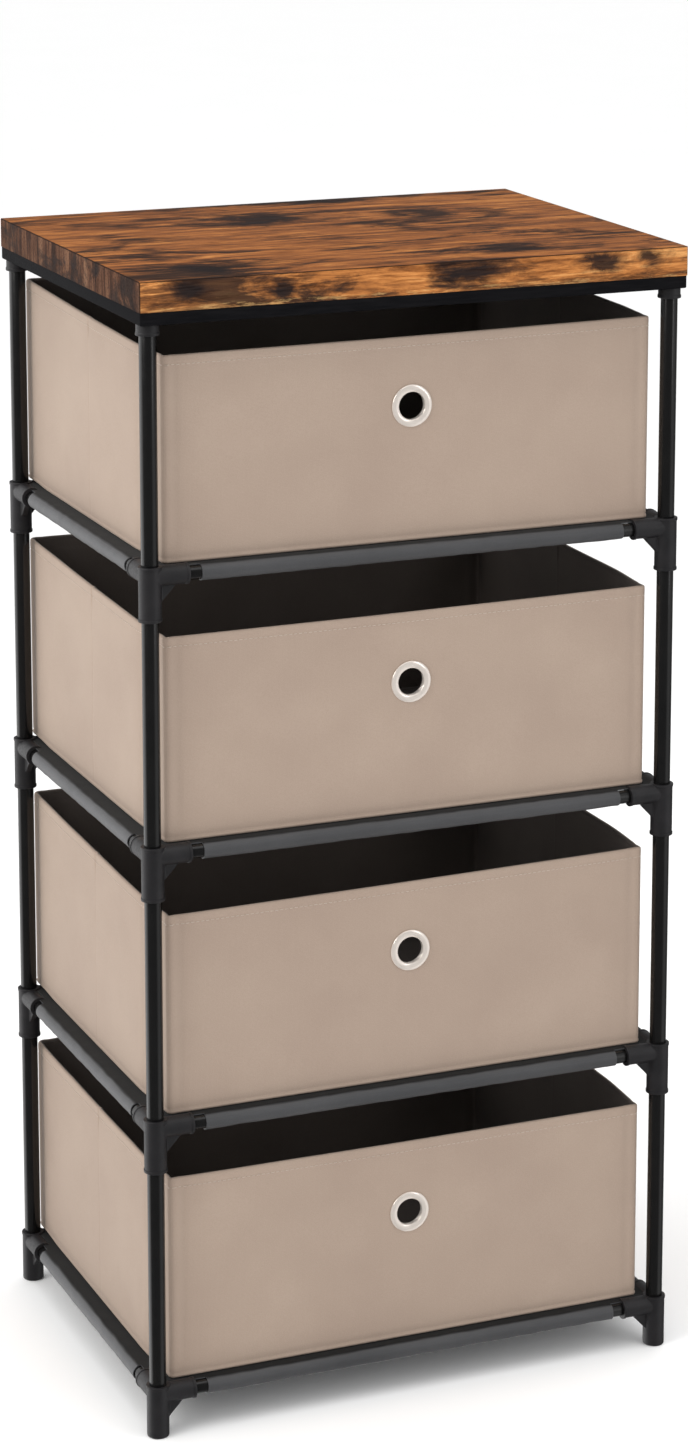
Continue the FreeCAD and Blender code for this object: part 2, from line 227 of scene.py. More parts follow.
def spunbond(name, dark, light, sheen, gloss=0.15, rough=(0.82, 0.95), painted_top_shade=1.0):
    """Bonded non-woven cloth: fine fibres pressed together at points, with a soft mottle.

    With the last argument below 1, upward faces are matt and darkened to that share: painted
    shade, as cast by the bins.
    """
    f = Finish(name, gloss, Sheen_Weight=sheen, Sheen_Roughness=0.5)
    where = f.place()
    points = f.ramp(f.cells(where, 820, 0.35), (0.18, 0.0), (0.55, 1.0))
    fibres = f.grain(f.place((1, 1, 0.55)), 1900, 5, 0.7)
    mottle = f.grain(where, 9, 4, 0.55)
    tone = f.math("ADD", f.math("MULTIPLY", mottle, 0.62), f.math("MULTIPLY", fibres, 0.38))
    base = f.ramp(tone, (0.30, dark), (0.70, light))
    between = f.math("MULTIPLY", f.math("SUBTRACT", 1.0, points), 0.16)
    base = f.mix(between, base, dark, "MULTIPLY")
    matt = f.ramp(fibres, (0.3, rough[0]), (0.7, rough[1]))
    if painted_top_shade < 1.0:
        # Painted shade: faces turned up are darkened as if in the bins' shade, and made fully
        # matt.
        upward = f.normal()[2]
        base = f.mix(1.0, base, f.ramp(upward, (0.87, 1.0), (0.985, painted_top_shade)), "MULTIPLY")
        matt = f.mix(f.ramp(upward, (0.84, 0.0), (0.97, 1.0)), matt, (1.0, 1.0, 1.0))
    f.colour(base)
    f.roughness(matt)
    f.bump((points, 0.00006), (fibres, 0.00008), (mottle, 0.0009))
    return f.material


# Charred knots, most of them along the board's front edge, in mm: place (from the middle in X,
# behind the front, below the top) and half extents.
KNOTS = (((-226, 0, 10), (18, 12, 10)), ((-135, 0, 15), (10, 6, 10)), ((51, 0, 11), (44, 22, 15)),
         ((182, 0, 9), (24, 14, 12)), ((234, 0, 8), (18, 12, 10)), ((-192, 46, 0), (26, 36, 10)),
         ((110, 60, 0), (50, 30, 10)), ((-40, 310, 0), (55, 45, 10)),
         ((20, 412, 0), (160, 24, 14)))
LIT_FOOT = 4.5 * MM       # height of the flecked strip along the front's lower edge
JOINT_WIDTH = 0.9 * MM    # of the dark line along an arris


def knots(f, low, high):
    """1 inside a charred knot, fading out unevenly to 0."""
    where = f.place()
    wander = f.grain(f.place((34, 60, 60)), 1, 6, 0.68, 0.6)
    charred = 0.0
    for (x, behind, below), half in KNOTS:
        centre = (x * MM, low.y + behind * MM, high.z - below * MM)
        extents = tuple(h * MM for h in half)
        offset = f.node("VectorMath", {0: where, 1: centre}, operation="SUBTRACT")[0]
        scaled = f.node("VectorMath", {0: offset, 1: extents}, operation="DIVIDE")[0]
        far = f.node("VectorMath", {0: scaled}, operation="LENGTH")["Value"]
        ragged = f.math("MULTIPLY", f.math("SUBTRACT", wander, 0.5), 2.6)
        uneven = f.math("ADD", far, ragged)
        knot = f.node("MapRange", {0: uneven, 1: 1.25, 2: 0.45, 3: 0.0, 4: 1.0})[0]
        charred = f.math("MAXIMUM", charred, knot)
    return charred


def rustic_wood(low, high):
    """Printed rustic board: orange-brown, streaked along X, with burns and separate edge bands."""
    f = Finish("rustic_wood_print", gloss=0.02)
    normal = f.normal()
    place = f.split(f.place())
    on_side = f.math("GREATER_THAN", f.math("ABSOLUTE", normal[0]), 0.7)
    on_front = f.math("GREATER_THAN", f.math("ABSOLUTE", normal[1]), 0.7)
    streak = f.grain(f.place((11, 95, 95)), 1, 9, 0.72, 0.5)
    side_streak = f.grain(f.place((60, 85, 9)), 1, 8, 0.68, 0.4)
    lines = f.grain(f.place((26, 420, 420)), 1, 5, 0.66)
    blotch = f.grain(f.place((6, 13, 19)), 1, 6, 0.66, 0.9)
    top = f.ramp(streak, (0.36, (0.088, 0.035, 0.017)), (0.46, (0.180, 0.067, 0.025)),
                 (0.55, (0.285, 0.103, 0.032)), (0.66, (0.45, 0.190, 0.056)))
    front = f.ramp(streak, (0.34, (0.140, 0.055, 0.022)), (0.44, (0.340, 0.127, 0.038)),
                   (0.54, (0.540, 0.215, 0.063)), (0.66, (0.72, 0.38, 0.140)))
    side = f.ramp(side_streak, (0.36, (0.024, 0.014, 0.011)), (0.46, (0.062, 0.029, 0.018)),
                  (0.55, (0.118, 0.058, 0.034)), (0.68, (0.195, 0.106, 0.064)))
    base = f.mix(on_side, f.mix(on_front, top, front), side)
    drawn_out = f.math("MULTIPLY", f.math("SUBTRACT", streak, 0.5), -0.35)
    burns = f.ramp(f.math("ADD", blotch, drawn_out), (0.50, 0.0), (0.555, 0.55), (0.62, 1.0))
    base = f.mix(f.math("MULTIPLY", burns, 0.90), base, (0.020, 0.015, 0.014))
    base = f.mix(f.math("MULTIPLY", knots(f, low, high), 0.92), base, (0.018, 0.014, 0.014))
    up = f.math("SUBTRACT", place[2], low.z)
    lit_foot = f.math("MULTIPLY", f.math("LESS_THAN", up, LIT_FOOT), on_front)
    flecks = f.ramp(f.grain(f.place((45, 100, 330)), 1, 5, 0.75), (0.52, 0.0), (0.60, 1.0))
    fleck_share = f.math("MULTIPLY", f.math("MULTIPLY", lit_foot, flecks), 0.35)
    base = f.mix(fleck_share, base, (0.72, 0.45, 0.18))
    pores = f.ramp(lines, (0.38, 1.0), (0.50, 0.0))
    base = f.mix(f.math("MULTIPLY", pores, 0.55), base, (0.30, 0.22, 0.18), "MULTIPLY")
    joint = joint_line(f, place, low, high)
    f.colour(f.mix(f.math("MULTIPLY", joint, 0.85), base, (0.012, 0.008, 0.007)))
    f.roughness(f.ramp(streak, (0.3, 0.50), (0.7, 0.68)))
    f.bump((streak, 0.00012), (lines, 0.00005))
    return f.material


def joint_line(f, place, low, high):
    """1 near an arris, where two of the board's faces meet, and 0 elsewhere."""
    near = []
    for axis, limits in ((0, (low.x, high.x)), (1, (low.y, high.y)), (2, (high.z,))):
        gaps = [f.math("ABSOLUTE", f.math("SUBTRACT", place[axis], limit)) for limit in limits]
        gap = gaps[0] if len(gaps) == 1 else f.math("MINIMUM", gaps[0], gaps[1])
        near.append(f.math("LESS_THAN", gap, JOINT_WIDTH))
    pairs = f.math("ADD", f.math("ADD", near[0], near[1]), near[2])
    return f.math("GREATER_THAN", pairs, 1.5)


def nickel():
    f = Finish("polished_nickel", Base_Color=(0.88, 0.80, 0.73, 1), Metallic=0.5)
    where = f.place()
    f.roughness(f.ramp(f.grain(where, 500, 4, 0.7), (0.3, 0.10), (0.7, 0.22)))
    f.bump((f.grain(where, 900, 3), 0.00001))
    return f.material


def brushed_steel():
    f = Finish("zinc_steel", Metallic=1.0)
    grain = f.grain(f.place((60, 60, 1500)), 1, 4, 0.6)
    f.colour(f.ramp(grain, (0.3, (0.45, 0.45, 0.44)), (0.7, (0.62, 0.61, 0.59))))
    f.roughness(f.ramp(grain, (0.3, 0.28), (0.7, 0.45)))
    return f.material


def thread(name, colour):
    f = Finish(name, gloss=0.25, Sheen_Weight=0.3)
    twist = f.grain(f.place(), 2500, 2)
    f.colour(f.ramp(twist, (0.3, tuple(c * 0.75 for c in colour)), (0.7, colour)))
    f.roughness(f.ramp(twist, (0.3, 0.6), (0.7, 0.8)))
    f.bump((twist, 0.00005))
    return f.material


def pale_floor():
    f = Finish("pale_floor", gloss=0.1)
    f.colour(f.ramp(f.grain(f.place(), 3), (0.2, 0.955), (0.8, 0.965)))
    f.roughness(f.ramp(f.grain(f.place(), 20), (0.2, 0.8), (0.8, 0.9)))
    return f.material


# ------------ mesh tools
class Shape:
    """Points and faces gathered from several surfaces, each face with its material's number."""

    def __init__(self):
        self.points, self.faces, self.slots = [], [], []

    def grid(self, rows, loop=False, rings=False, slot=0):
        """Quads between rows of points, which may be rings; loop joins the last to the first.

        The slot is a number or a function of the row's number.
        """
        start, width = len(self.points), len(rows[0])
        for row in rows:
            self.points.extend(row)
        for i in range(len(rows) if loop else len(rows) - 1):
            for j in range(width if rings else width - 1):
                here, there = start + i * width, start + (i + 1) % len(rows) * width
                k = (j + 1) % width
                self.faces.append((here + j, here + k, there + k, there + j))
                self.slots.append(slot(i) if callable(slot) else slot)
        return self

    def cap(self, row, slot=0):
        """One flat face on a ring of points."""
        start = len(self.points)
        self.points.extend(row)
        self.faces.append(tuple(range(start, start + len(row))))
        self.slots.append(slot)
        return self

    def turned(self, profile, origin, axis=Z, loop=True, segments=TUBE_SEGMENTS):
        """Surface of (radius, height) corners turned round an axis; loop joins last to first."""
        along = Vector(axis)
        side = Vector((along.y, along.z, along.x))
        across = along.cross(side)
        rows = []
        for radius, height in profile:
            centre = Vector(origin) + along * height
            rows.append([centre + radius * (side * math.cos(t) + across * math.sin(t))
                         for t in (2 * math.pi * i / segments for i in range(segments))])
        return self.grid(rows, loop=loop, rings=True)

    def make(self, name, materials, body="root", sharp=35):
        mesh = bpy.data.meshes.new(name)
        mesh.from_pydata(self.points, [], self.faces)
        mesh.polygons.foreach_set("material_index", self.slots)
        made = placed(name, mesh)
        for material in materials:
            mesh.materials.append(material)
        tidy(mesh)
        shade(mesh, sharp)
        if body:
            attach(made, body)
        return made


def placed(name, data):
    """A new object in the scene."""
    made = bpy.data.objects.new(name, data)
    bpy.context.scene.collection.objects.link(made)
    return made


def tidy(mesh):
    """Welds points that fall together and turns all faces outwards."""
    work = bmesh.new()
    work.from_mesh(mesh)
    bmesh.ops.remove_doubles(work, verts=work.verts, dist=SPARE_FIT)
    bmesh.ops.dissolve_degenerate(work, edges=work.edges, dist=SPARE_FIT)
    bmesh.ops.recalc_face_normals(work, faces=work.faces)
    work.to_mesh(mesh)
    work.free()


def pour(meshes, target):
    """Fills a mesh with all the faces of several."""
    work = bmesh.new()
    for mesh in meshes:
        work.from_mesh(mesh)
    work.to_mesh(target)
    work.free()


def shade(mesh, sharp):
    """Smooth shading, but for edges sharper than an angle in degrees."""
    mesh.shade_smooth()
    mesh.set_sharp_from_angle(angle=math.radians(sharp))


def paint(mesh, material):
    """Gives a mesh one material in place of those it has."""
    mesh.materials.clear()
    mesh.materials.append(material)


def settle(made):
    """Applies an object's modifiers to its mesh."""
    graph = bpy.context.evaluated_depsgraph_get()
    mesh = bpy.data.meshes.new_from_object(made.evaluated_get(graph))
    made.modifiers.clear()
    made.data = mesh
    return made


def cut(made, cutters):
    """Cuts other objects, which are used up, out of an object."""
    for cutter in cutters:
        step = made.modifiers.new("cut", "BOOLEAN")
        step.operation, step.object, step.solver = "DIFFERENCE", cutter, "EXACT"
        settle(made)
        bpy.data.objects.remove(cutter)
    return made


def eased(corners, steps=3):
    """Closed or open profile of (x, y) or (x, y, radius) corners, the latter rounded."""
    out = []
    for i, corner in enumerate(corners):
        if len(corner) == 2:
            out.append(corner)
            continue
        at = Vector(corner[:2])
        before = (Vector(corners[i - 1][:2]) - at).normalized() * corner[2]
        after = (Vector(corners[(i + 1) % len(corners)][:2]) - at).normalized() * corner[2]
        for k in range(steps + 1):
            t = k / steps
            out.append(tuple(at + before * (1 - t) ** 2 + after * t ** 2))
    return out


def spaced(start, end, step, fine=()):
    """Places from start to end about step apart; fine adds (centre, reach, step) stretches."""
    count = max(1, round((end - start) / step))
    places = {round(start + (end - start) * i / count, 7) for i in range(count + 1)}
    for centre, reach, small in fine:
        low, high = max(start, centre - reach), min(end, centre + reach)
        places = {p for p in places if not low < p < high}
        parts = max(1, round((high - low) / small))
        places |= {round(low + (high - low) * i / parts, 7) for i in range(parts + 1)}
    return sorted(places)


def smooth_step(value, low, high):
    """0 below low and 1 above high, eased between them."""
    t = min(1.0, max(0.0, (value - low) / (high - low)))
    return t * t * (3 - 2 * t)


def bell(value, centre, width):
    """1 at the centre, falling to 0 on both sides."""
    return math.exp(-((value - centre) / width) ** 2)


def stand_in(made, node):
    """Shows an object in place of a node of the frame."""
    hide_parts(node)


# ------------ tube frame
def tube(shape, radius, wall, start, axis, length):
    """Adds a hollow tube with eased ends to a shape."""
    rim = wall / 3
    profile = eased([(radius, 0, rim), (radius, length, rim), (radius - wall, length, rim),
                     (radius - wall, 0, rim)], 2)
    return shape.turned(profile, start, axis)


def post_tubes(coat):
    for tier in TIERS:
        for corner in CORNERS:
            node = "post_tube_%d_%s" % (tier, corner)
            low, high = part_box(node)
            foot = (middle(node).x, middle(node).y, low.z)
            post = tube(Shape(), POST_R, POST_WALL, foot, Z, high.z - low.z)
            stand_in(post.make("post_%d_%s" % (tier, corner), [coat]), node)


def rail_tubes(coat):
    for tier in TIERS:
        z = RAIL_HEIGHT[tier]
        across, along = Shape(), Shape()
        for side in (-1, 1):
            left_end = (-RAIL_LEN_X / 2, side * HALF_Y, z)
            front_end = (side * HALF_X, -RAIL_LEN_Y / 2, z)
            tube(across, RAIL_R, RAIL_WALL, left_end, X, RAIL_LEN_X)
            tube(along, RAIL_R, RAIL_WALL, front_end, Y, RAIL_LEN_Y)
        for shape, kind in ((across, "front_back"), (along, "sides")):
            made = shape.make("rail_pair_%d_%s" % (tier, kind), [coat])
            stand_in(made, "rails_%d_%s" % (tier, kind))


def scratch_turned(profile, origin=(0, 0, 0), axis=Z):
    """Turned solid that is used up in making something else."""
    solid = Shape().turned(profile, origin, axis, loop=False)
    return solid.make("scratch", [], None)


def scratch_rod(radius, start, end, origin=(0, 0, 0), axis=Z):
    return scratch_turned([(0, start), (radius, start), (radius, end), (0, end)], origin, axis)


def gusset_solid(axis):
    """Web under a socket, its corners inside the sleeve and the socket."""
    socket_z = SLEEVE_LEN - RAIL_DROP
    low = socket_z - SOCKET_R - GUSSET_DROP
    along = Vector(axis)
    across = Vector((-along.y, along.x, 0)) * (GUSSET_THICK / 2)
    run = SLEEVE_R + GUSSET_RUN
    outline = [(0, low), (SLEEVE_R, low), (run, socket_z - SOCKET_R), (run, socket_z),
               (0, socket_z)]
    sides = [[along * x + Vector((0, 0, z)) + shift for x, z in outline]
             for shift in (-across, across)]
    web = Shape().grid(sides, rings=True)
    for side in sides:
        web.cap(side)
    return web.make("scratch", [], None)


def fused(parts):
    """Overlapping solids as one moulding: remeshed, which joins them and softens the joints."""
    body = parts[0]
    pour([part.data for part in parts], body.data)
    for part in parts[1:]:
        bpy.data.objects.remove(part)
    blend = body.modifiers.new("blend", "REMESH")
    blend.mode, blend.voxel_size = "VOXEL", MOULD_VOXEL
    soften = body.modifiers.new("soften", "SMOOTH")
    soften.factor, soften.iterations = 0.5, 3
    fewer = body.modifiers.new("fewer", "DECIMATE")
    fewer.ratio = MOULD_KEPT
    return settle(body)


def connector_mesh(is_foot, plastic):
    """The front left connector, its lower end at z = 0, as one moulding with its bores cut."""
    socket = (0, 0, SLEEVE_LEN - RAIL_DROP)
    foot_rim = FOOT_ROUND if is_foot else RIM_ROUND
    sleeve = [(0, 0), (SLEEVE_R, 0, foot_rim), (SLEEVE_R, SLEEVE_LEN, RIM_ROUND), (0, SLEEVE_LEN)]
    parts = [scratch_turned(eased(sleeve))]
    bores = []
    bore_start = HALF_X - RAIL_LEN_X / 2
    for axis in (X, Y):
        arm = [(0, 0), (SOCKET_R, 0), (SOCKET_R, SOCKET_REACH, RIM_ROUND), (0, SOCKET_REACH)]
        parts += [scratch_turned(eased(arm), socket, axis), gusset_solid(axis)]
        bores.append(scratch_rod(SOCKET_BORE_R, bore_start, 2 * SOCKET_REACH, socket, axis))
    bores.append(scratch_rod(SLEEVE_BORE_R, SLEEVE_LEN - POST_INSERT, SLEEVE_LEN + POST_INSERT))
    if not is_foot:
        bores.append(scratch_rod(SLEEVE_BORE_R, -POST_INSERT, POST_INSERT))
    body = cut(fused(parts), bores)
    mesh = body.data
    bpy.data.objects.remove(body)
    paint(mesh, plastic)
    shade(mesh, 50)
    return mesh


def lip(bore_r, outer_r):
    """Section of the moulded ring round a mouth."""
    proud = outer_r + LIP_PROUD
    return eased([(bore_r, 0), (proud, 0, LIP_ROUND), (proud, LIP_LEN, LIP_ROUND),
                  (bore_r, LIP_LEN)])


def lip_rings(shape, is_foot, flip, origin):
    """Moulded rings round a connector's mouths."""
    ring = lip(SLEEVE_BORE_R, SLEEVE_R)
    if not is_foot:
        shape.turned(ring, origin + Vector((0, 0, -SPARE_FIT)))
    height = SLEEVE_LEN - LIP_LEN + SPARE_FIT
    shape.turned(ring, origin + Vector((0, 0, height)))
    ring = lip(SOCKET_BORE_R, SOCKET_R)
    socket = origin + Vector((0, 0, SLEEVE_LEN - RAIL_DROP))
    for axis, turn in zip((X, Y), flip):
        mouth = socket + Vector(axis) * turn * (SOCKET_REACH + SPARE_FIT)
        shape.turned(ring, mouth, tuple(-turn * c for c in axis))


def connectors(plastic):
    local = {is_foot: connector_mesh(is_foot, plastic) for is_foot in (False, True)}
    for tier in TIERS:
        is_foot = tier == TIERS[-1]
        base = SLEEVE_TOP[tier] - SLEEVE_LEN
        for hand, corners in HANDS.items():
            rings = Shape()
            bodies = []
            for corner in corners:
                sx, sy = CORNERS[corner]
                origin = Vector((sx * HALF_X, sy * HALF_Y, base))
                lip_rings(rings, is_foot, (-sx, -sy), origin)
                mesh = local[is_foot].copy()
                mesh.transform(Matrix.Translation(origin) @ Matrix.Diagonal((-sx, -sy, 1, 1)))
                if sx * sy < 0:
                    mesh.flip_normals()
                bodies.append(mesh)
            kind = "foot_connectors" if is_foot else "connectors_%d" % tier
            name = kind.replace("connectors", "corner_mouldings") + "_" + hand
            made = rings.make(name, [plastic])
            pour([made.data] + bodies, made.data)
            stand_in(made, kind + "_" + hand)


# ------------ top
SLAB_STEPS = 4            # of a quarter turn at its corners and rims


def rounded_slab(name, node, material, corner, upper, lower):
    """Slab with rounded upright corners, its upper and lower rims eased by their own radii."""
    low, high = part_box(node)

    def outline(inset, z):
        ring = []
        radius = max(corner - inset, 0.2 * MM)
        for sx, sy, first in ((1, -1, -90), (1, 1, 0), (-1, 1, 90), (-1, -1, 180)):
            cx = (high.x if sx > 0 else low.x) - sx * (inset + radius)
            cy = (high.y if sy > 0 else low.y) - sy * (inset + radius)
            for k in range(SLAB_STEPS + 1):
                t = math.radians(first + 90 * k / SLAB_STEPS)
                ring.append(Vector((cx + radius * math.cos(t), cy + radius * math.sin(t), z)))
        return ring

    quarter = [math.pi / 2 * k / SLAB_STEPS for k in range(SLAB_STEPS + 1)]
    rows = [outline(lower * (1 - math.sin(t)), low.z + lower * (1 - math.cos(t)))
            for t in quarter]
    rows += [outline(upper * (1 - math.cos(t)), high.z - upper * (1 - math.sin(t)))
             for t in quarter]
    slab = Shape().grid(rows, rings=True)
    slab.cap(rows[0][::-1]).cap(rows[-1])
    stand_in(slab.make(name, [material], sharp=50), node)


def top(wood, foil, plastic, steel):
    rounded_slab("wood_slab", "top_board", wood, 1.2 * MM, 0.8 * MM, 0.5 * MM)
    rounded_slab("under_panel", "top_base_panel", foil,
                 1.5 * MM, 0.3 * MM, 1.6 * MM)
    cups = Shape()
    proud = SLEEVE_R + LIP_PROUD
    ring = [(SLEEVE_BORE_R, 0, 0.2 * MM), (proud, 0, LIP_ROUND), (proud, LIP_LEN, LIP_ROUND),
            (SLEEVE_R, LIP_LEN + LIP_PROUD), (SLEEVE_R, SOCKET_TOP - FRAME_TOP),
            (SLEEVE_BORE_R, SOCKET_TOP - FRAME_TOP)]
    for sx, sy in CORNERS.values():
        cups.turned(eased(ring), (sx * HALF_X, sy * HALF_Y, FRAME_TOP))
    stand_in(cups.make("socket_cups", [plastic]), "top_sockets")
    paint(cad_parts["top_socket_screws"].data, steel)


# ------------ shelf cloths
SHELF_SAG = 3.0 * MM      # of the cloth's middle
HEM_PUCKER = 0.5 * MM
HEM_STEP = 6 * MM         # spacing of points along a hem
HEM_LAP = 15 * MM         # width of the hem's sewn lap under the sheet
FLAT_STEPS = 8            # across the flat strip between the sheet's middle and the rails
NECK_STEPS = round(FLAT_STEPS * HEM_SETBACK / HEM_START)  # of these, along the bare rail
LAP_GAP = 0.1 * MM        # between the lap and the sheet above it
HEM_TURN_STEPS = 14       # round the rail
HEM_TURN_END = -118       # degrees from straight outwards, where the hem leaves the rail
LAP_STEPS = 3             # from there in to the lap


def shelf_height(x, y, tier):
    """Height of the sheet's upper face at a place: level with the hems, sagging between them."""
    rise = (1 - (x / HALF_X) ** 2) * (1 - (y / HALF_Y) ** 2)
    ripple = noise.noise(Vector((x * 14, y * 14, tier * 7.7))) * 0.5 * MM
    return RAIL_HEIGHT[tier] + HEM_R - max(0.0, rise) * SHELF_SAG + ripple * max(0.0, rise) ** 0.5


def hem_path():
    """The hem's section: (distance out from the rail's axis, height above it, share of sag)."""
    path = [(-HEM_START + HEM_START * i / FLAT_STEPS, HEM_R, 1.0) for i in range(FLAT_STEPS)]
    for i in range(HEM_TURN_STEPS + 1):
        t = math.radians(90 + (HEM_TURN_END - 90) * i / HEM_TURN_STEPS)
        path.append((HEM_R * math.cos(t), HEM_R * math.sin(t), 0.0))
    lap_z = HEM_R - 2 * SHELF_THICK - LAP_GAP
    start = path[-1]
    bend = (-HEM_R * 1.5, lap_z * 0.45)
    for k in range(1, LAP_STEPS + 1):
        t = k / LAP_STEPS
        path.append((start[0] * (1 - t) ** 2 + 2 * t * (1 - t) * bend[0] - t * t * HEM_R * 2.0,
                     start[1] * (1 - t) ** 2 + 2 * t * (1 - t) * bend[1] + t * t * lap_z, 0.0))
    path.append((-HEM_R * 2.0 - HEM_LAP / 2, lap_z, 1.0))
    path.append((-HEM_R * 2.0 - HEM_LAP, lap_z, 1.0))
    return path


def shelf(tier, cloth):
    """Sagging sheet with a hem round each rail, cut out at the corners round the connectors.

    Between a hem's end and the socket's mouth a strip of it lies on the bare rail.
    """
    half_x, half_y = HALF_X - HEM_START, HALF_Y - HEM_START
    xs = spaced(-half_x, half_x, HEM_STEP)
    ys = spaced(-half_y, half_y, HEM_STEP)
    z = RAIL_HEIGHT[tier]
    sheet = Shape().grid([[Vector((x, y, shelf_height(x, y, tier))) for x in xs] for y in ys])
    path = hem_path()
    ends = {}
    for side in (-1, 1):
        for across in (True, False):
            rows = []
            for s in (xs if across else ys):
                row = []
                for k, (out, up, sag) in enumerate(path):
                    seed = Vector((s * 95, k * 0.35, tier * 3.1 + side + 5 * across))
                    pucker = noise.noise(seed) * HEM_PUCKER * (1 - sag)
                    grow = 1 + pucker / math.hypot(out, up)
                    rail = HALF_Y if across else HALF_X
                    at = side * (rail + out * grow)
                    x, y = (s, at) if across else (at, s)
                    drop = (shelf_height(x, y, tier) - z - HEM_R) * sag
                    row.append(Vector((x, y, z + up * grow + drop)))
                rows.append(row)
            sheet.grid(rows)
            ends[across, side, -1] = rows[0][:FLAT_STEPS + 1]
            ends[across, side, 1] = rows[-1][:FLAT_STEPS + 1]
    for sx, sy in CORNERS.values():
        one, other = ends[True, sy, sx], ends[False, sx, sy]
        inner = one[0]
        sheet.grid([[a + b - inner for b in other[:-1]] for a in one[:-1]])
        for near, far in ((one, other), (other, one)):
            sheet.grid([[near[-2] + b - inner, near[-1] + b - inner]
                        for b in far[:NECK_STEPS + 1]])
    made = sheet.make("shelf_cloth_%d" % tier, [cloth], sharp=180)
    thicken = made.modifiers.new("thicken", "SOLIDIFY")
    thicken.thickness, thicken.offset = SHELF_THICK, -1
    settle(made)
    shade(made.data, 60)
    stand_in(made, "shelf_fabric_%d" % tier)


# ------------ bins
CLOTH_THICK = 1.1 * MM
CORNER_R = 4.5 * MM       # a bin's upright corners
WALL_THICK = 4.3 * MM     # cloth, board and lining together
RIM_ROLL = 2.0 * MM       # rounding over the boards' tops
STITCH_DROP = 9.5 * MM    # hem seam below the top edge
STITCH_LEN = 3.4 * MM
STITCH_GAP = 1.5 * MM
STITCH_R = 0.28 * MM
STITCH_SEGMENTS = 6
WELT_PROUD = 0.5 * MM     # sewn welt along the bottom edge
WELT_HIGH = 3.6 * MM
CORNER_VALLEY = 0.7 * MM  # dip beside an upright corner, where the boards end
FOLD_DEPTH = 1.1 * MM     # crease down the middle of each side wall
FOLD_REACH = 26 * MM      # how far down it is sharp
FOLD_WIDTH = 1.3 * MM     # from its middle to where it fades
PANEL_SWELL = 0.7 * MM    # unevenness of the walls
BOTTOM_SETTLE = 1.6 * MM  # the bottom edge hangs this much below the sockets' tops
SETTLE_REACH = 60 * MM    # height over which the walls take that up
RIM_STEPS = 6             # of the rolled rim, whose inner half is lining
WALL_STEP = 9 * MM
CORNER_STEPS = 5          # of an upright corner's quarter turn
# Top edge at each corner in mm, above or below the true height, from the front left round to the
# rear left, by tier.
RIM_LIFT = {1: (-7.0, -3.5, 0.5, 3.0), 2: (-4.5, -2.0, 0.0, 4.0),
            3: (-6.0, 0.5, 0.5, 3.5), 4: (1.0, 0.5, 0.0, 1.5)}
RIM_DIP = 0.7 * MM        # sag of the top edge between two corners
BOW = 3.5 * MM            # the soft side and rear walls stand out this much
BOW_START = 70 * MM       # reached this far behind the front corners
EYE_HOLE_R = 14.2 * MM    # hole through cloth and board for the eyelet's barrel
EYE_DIP = 0.45 * MM       # the cloth is drawn in round the flange
EYE_BORE_R = 13 * MM
BARREL_R = 13.7 * MM
WASHER_R = 18.5 * MM
EYE_SEGMENTS = 72
CROWN_STEPS = 12          # over the flange


def bin_walls(low, high):
    """Places round a bin's outline: (x, y, outward x, outward y, side, s, flat).

    The sides are 0 front, 1 right, 2 rear and 3 left, with a half more in the corner after each.
    On a side, s is the distance from its middle, and flat is half the length of its flat part.
    """
    mid_x, mid_y = (low.x + high.x) / 2, (low.y + high.y) / 2
    half_x, half_y = (high.x - low.x) / 2, (high.y - low.y) / 2
    eyelet_zone, crease_zone = (0.0, 36 * MM, 3 * MM), (0.0, 6 * MM, 1 * MM)
    sides = ((0, -1, half_x, half_y, [eyelet_zone]), (1, 0, half_y, half_x, [crease_zone]),
             (0, 1, half_x, half_y, []), (-1, 0, half_y, half_x, [crease_zone]))
    out = []
    for side, (ox, oy, half_run, half_out, fine) in enumerate(sides):
        ax, ay = -oy, ox
        flat = half_run - CORNER_R
        ends = [(at, 16 * MM, 2 * MM) for at in (-flat, flat)]
        for s in spaced(-flat, flat, WALL_STEP, fine + ends):
            x, y = mid_x + ax * s + ox * half_out, mid_y + ay * s + oy * half_out
            out.append((x, y, ox, oy, side, s, flat))
        corner_x = mid_x + ax * flat + ox * (half_out - CORNER_R)
        corner_y = mid_y + ay * flat + oy * (half_out - CORNER_R)
        for k in range(1, CORNER_STEPS):
            t = math.pi / 2 * k / CORNER_STEPS
            nx = ox * math.cos(t) + ax * math.sin(t)
            ny = oy * math.cos(t) + ay * math.sin(t)
            x, y = corner_x + nx * CORNER_R, corner_y + ny * CORNER_R
            out.append((x, y, nx, ny, side + 0.5, t, flat))
    return out


def bow(wall):
    """How far a wall bows out at a place: nothing at the stiff front, all of it round the rear."""
    side, s, flat = wall[4:]
    if side in (1, 3):
        behind = flat + s if side == 1 else flat - s
        return BOW * smooth_step(behind, 0, BOW_START)
    return BOW if 1 < side < 3 else 0.0


def rim_lift(wall, lifts):
    """Height added to the top edge at a place, blended between the corners' lifts."""
    side, s, flat = wall[4:]
    i = int(side)
    if side != i:
        return lifts[(i + 1) % 4] * MM
    t = (s + flat) / (2 * flat)
    dip = RIM_DIP * math.sin(math.pi * t)
    return (lifts[i] * (1 - t) + lifts[(i + 1) % 4] * t) * MM - dip


def settling(wall):
    """How far the soft bottom edge hangs down onto the hems, away from the rear sockets."""
    x, y = wall[:2]
    from_socket = max(HALF_X - SOCKET_REACH - abs(x), HALF_Y - SOCKET_R - y)
    return BOTTOM_SETTLE * smooth_step(from_socket, 0, 40 * MM)


def offset_section(section, inward):
    """The section again, moved to its left by a distance, for the cloth's other face."""
    out = []
    for i, (d, z, share) in enumerate(section):
        a, b = section[max(i - 1, 0)], section[min(i + 1, len(section) - 1)]
        run = Vector((b[0] - a[0], b[1] - a[1])).normalized()
        out.append((d - run.y * inward, z + run.x * inward, share))
    return out


